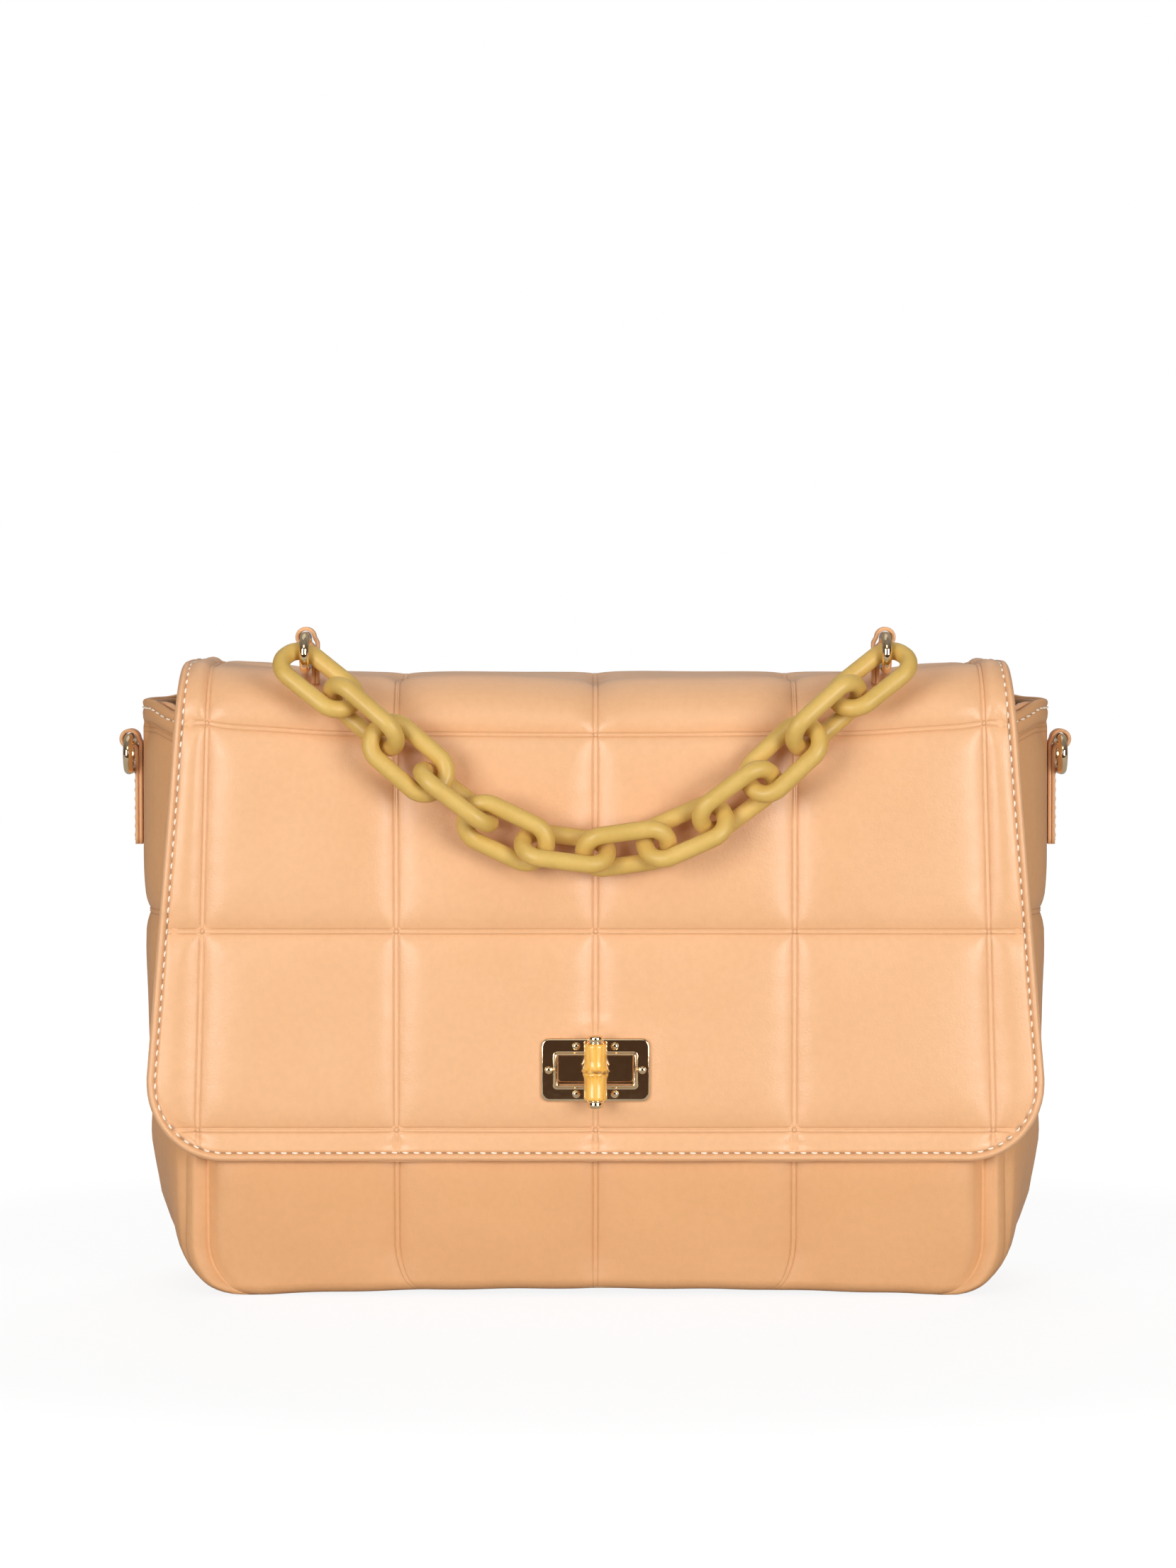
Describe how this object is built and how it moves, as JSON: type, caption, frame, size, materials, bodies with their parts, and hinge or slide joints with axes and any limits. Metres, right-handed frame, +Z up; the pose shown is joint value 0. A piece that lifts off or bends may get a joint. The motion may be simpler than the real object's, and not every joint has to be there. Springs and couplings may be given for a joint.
{
  "type": "chain_shoulder_bag",
  "caption": "Quilted flap shoulder bag with gusseted sides, draped plastic chain handle and a bamboo turn lock",
  "frame": {"origin": "middle of the underside of the base", "axes": "+X to the viewer's right along the bag's width, +Y from the front face to the back face, +Z up"},
  "size_m": [0.3262, 0.1187, 0.2246],
  "materials": {
    "leather_cover": "semi-matt fine grain, quilted over foam",
    "lining_cloth": "plain weave lining",
    "gilt_metal": "polished light gold plate",
    "chain_plastic": "satin moulded resin",
    "bamboo": "lacquered bamboo",
    "stiffener": "raw fibre board"
  },
  "bodies": {
    "bag_body": {"front_panel": "leather_cover", "back_panel": "leather_cover", "left_gusset": "leather_cover", "right_gusset": "leather_cover", "base_panel": "leather_cover", "base_board": "stiffener", "lining_front": "lining_cloth", "lining_back": "lining_cloth", "lining_left": "lining_cloth", "lining_right": "lining_cloth", "lining_base": "lining_cloth", "front_mouth_facing": "leather_cover", "back_mouth_facing": "leather_cover", "left_mouth_facing": "leather_cover", "right_mouth_facing": "leather_cover", "left_tab": "leather_cover", "right_tab": "leather_cover", "lock_base": "gilt_metal", "lock_anchor_plate": "gilt_metal"},
    "flap": {"flap_shell": "leather_cover", "flap_lining": "lining_cloth", "left_handle_tab": "leather_cover", "right_handle_tab": "leather_cover", "lock_plate": "gilt_metal", "lock_rivets": "gilt_metal", "flap_back_plate": "gilt_metal"},
    "toggle": {"toggle_stem": "gilt_metal", "bamboo_grip": "bamboo", "upper_grip_cap": "gilt_metal", "lower_grip_cap": "gilt_metal"},
    "left_strap_loop": {"left_ring": "gilt_metal"},
    "right_strap_loop": {"right_ring": "gilt_metal"},
    "left_handle_loop": {"left_handle_ring": "gilt_metal"},
    "right_handle_loop": {"right_handle_ring": "gilt_metal"},
    "chain": {"chain_link_01": "chain_plastic", "chain_link_02": "chain_plastic", "chain_link_03": "chain_plastic", "chain_link_04": "chain_plastic", "chain_link_05": "chain_plastic", "chain_link_06": "chain_plastic", "chain_link_07": "chain_plastic", "chain_link_08": "chain_plastic", "chain_link_09": "chain_plastic", "chain_link_10": "chain_plastic", "chain_link_11": "chain_plastic", "chain_link_12": "chain_plastic"}
  },
  "joints": [
    {"name": "flap_swing", "type": "hinge", "parent": "bag_body", "child": "flap", "pos_m": [0, 0.046, 0.20245], "axis": [-1, 0, 0], "range_deg": [0, 180]},
    {"name": "toggle_turn", "type": "hinge", "parent": "bag_body", "child": "toggle", "pos_m": [0, -0.06, 0.077], "axis": [0, 1, 0], "range_deg": [0, 90]},
    {"name": "left_ring_swing", "type": "hinge", "parent": "bag_body", "child": "left_strap_loop", "pos_m": [-0.1596, 0, 0.186], "axis": [0, 1, 0], "range_deg": [0, 150]},
    {"name": "right_ring_swing", "type": "hinge", "parent": "bag_body", "child": "right_strap_loop", "pos_m": [0.1596, 0, 0.186], "axis": [0, -1, 0], "range_deg": [0, 150]},
    {"name": "left_handle_ring_swing", "type": "hinge", "parent": "flap", "child": "left_handle_loop", "pos_m": [-0.0968, -0.0414, 0.2212], "axis": [0, 1, 0], "range_deg": [0, 10]},
    {"name": "right_handle_ring_swing", "type": "hinge", "parent": "flap", "child": "right_handle_loop", "pos_m": [0.0968, -0.0414, 0.2212], "axis": [0, -1, 0], "range_deg": [0, 10]},
    {"name": "handle_swing", "type": "hinge", "parent": "flap", "child": "chain", "pos_m": [0, -0.0489, 0.2161], "axis": [-1, 0, 0], "range_deg": [0, 160]}
  ]
}
